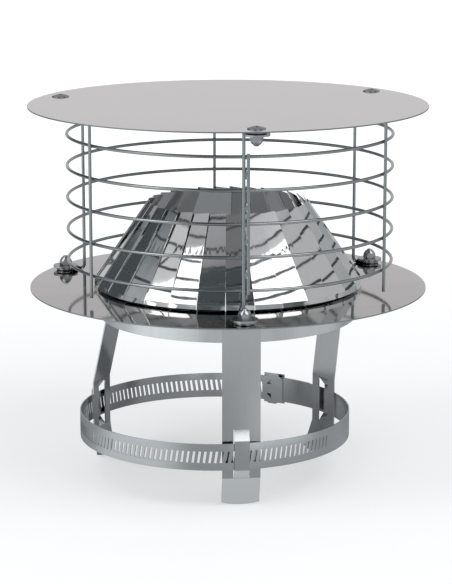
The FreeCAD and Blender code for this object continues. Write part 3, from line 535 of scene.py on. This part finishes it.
# the painted glow that bare metal sees on the floor in place of the lit paper: painted shade under the
# part, painted light patches round it
paintedFloorGlow = addNode(tree, "ShaderNodeEmission", inputs={
    "Color": hexColor(floorPaintedForMetal["color"]), "Strength": bright})
mirrored = addNode(tree, "ShaderNodeMath", {"operation": "MAXIMUM"}, {
    0: rays.outputs["Is Glossy Ray"], 1: rays.outputs["Is Transmission Ray"]})
both = addNode(tree, "ShaderNodeMixShader", inputs={
    0: mirrored.outputs[0], 1: shown.outputs[0], 2: paintedFloorGlow.outputs[0]})
addNode(tree, "ShaderNodeOutputMaterial", inputs={"Surface": both.outputs[0]})
floorMesh.materials.append(floorPaper)
print("floor laid")

# paper and black cards round the part, as a photographer stands them up to shape bare metal:
# azimuth, elevation, inner and outer radius in degrees, and its colour
cards = {
    "ceiling": (0, 90, 22, 36, "#cbcbcc"),
    "backPaper": (175, 2, 22, 40, "#dbd9da"),
    "backShade": (175, 32, 12, 24, "#a9abad"),
    "rightPaper": (85, 34, 16, 44, "#d9dadb"),
    "rightShade": (56, 16, 5, 16, "#65696b"),
    "leftPaper": (-86, 34, 12, 26, "#efeff0"),
    "leftLow": (-62, 2, 10, 26, "#e4e4e5"),
    "frontLow": (14, 16, 9, 18, "#e4e5e6"),
    "leftCard": (-134, 12, 14, 30, "#545b5e"),
    "cameraLow": (-22, 22, 8, 20, "#6b7375"),
    "cameraCard": (-16, 50, 15, 27, "#555d5f"),
}
world = bpy.data.worlds.new("whiteStudio")
bpy.context.scene.world = world
world.use_nodes = True
tree = world.node_tree
tree.nodes.clear()
rays = addNode(tree, "ShaderNodeLightPath")
direction = addNode(tree, "ShaderNodeTexCoord")
room = hexColor(studio["room"])
for azimuth, elevation, inner, outer, paint in cards.values():
    share = cardShare(tree, direction.outputs["Generated"], azimuth, elevation, inner, outer, 1.0)
    room = addNode(tree, "ShaderNodeMix", {"data_type": "RGBA"}, {
        "Factor": share, "A": room, "B": hexColor(paint)}).outputs[2]
mirrored = addNode(tree, "ShaderNodeMath", {"operation": "MAXIMUM"}, {
    0: rays.outputs["Is Glossy Ray"], 1: rays.outputs["Is Transmission Ray"]})
ambient = studio["ambient"]
indirect = addNode(tree, "ShaderNodeMix", {"data_type": "RGBA"}, {
    "Factor": mirrored.outputs[0], "A": (ambient, ambient, ambient, 1.0), "B": room})
seen = addNode(tree, "ShaderNodeMix", {"data_type": "RGBA"}, {
    "Factor": rays.outputs["Is Camera Ray"], "A": indirect.outputs[2], "B": (1, 1, 1, 1)})
sky = addNode(tree, "ShaderNodeBackground", inputs={"Color": seen.outputs[2], "Strength": 1.0})
addNode(tree, "ShaderNodeOutputWorld", inputs={"Surface": sky.outputs[0]})

# softboxes: azimuth, elevation, distance from the part, width, height, and brightness, where 1 is white
softboxes = {
    "rightSoftbox": (40, 52, 1.6, 1.10, 1.20, 1.9),
    "leftSoftbox": (-66, 43, 1.6, 0.68, 1.35, 1.9),
}
for name, (azimuth, elevation, distance, width, height, cloth) in softboxes.items():
    aim = Vector(studio["aim"])
    light = bpy.data.lights.new(name, "AREA")
    light.shape = "RECTANGLE"
    light.size, light.size_y = width, height
    light.energy = cloth * math.pi * width * height
    lamp = bpy.data.objects.new(name, light)
    lamp.location = aim + toward(azimuth, elevation) * distance
    lamp.rotation_euler = (aim - lamp.location).to_track_quat("-Z", "Y").to_euler()
    lamp.visible_camera = False
    bpy.context.scene.collection.objects.link(lamp)

# camera found from the ellipses of discs, rings and band; the frame is 452 x 584
shot = {
    "target": (0, 0, 0.1222),
    "distance": 1.394,
    "azimuth": -5.0,
    "elevation": 12.15,
    "lens": 135.37,
    "shiftX": -0.0034,
    "shiftY": -0.0136,
    "sensor": 36,                # mm, as the lens is
    "clipEnd": 50,
}
back = toward(shot["azimuth"], shot["elevation"])
lens = bpy.data.cameras.new("camera")
lens.lens = shot["lens"]
lens.sensor_width = shot["sensor"]
lens.shift_x, lens.shift_y = shot["shiftX"], shot["shiftY"]
lens.clip_end = shot["clipEnd"]
camera = bpy.data.objects.new("camera", lens)
camera.location = Vector(shot["target"]) + back * shot["distance"]
camera.rotation_euler = (-back).to_track_quat("-Z", "Y").to_euler()
bpy.context.scene.collection.objects.link(camera)
bpy.context.scene.camera = camera
bpy.context.scene.view_settings.view_transform = "Standard"
print("light and camera set")
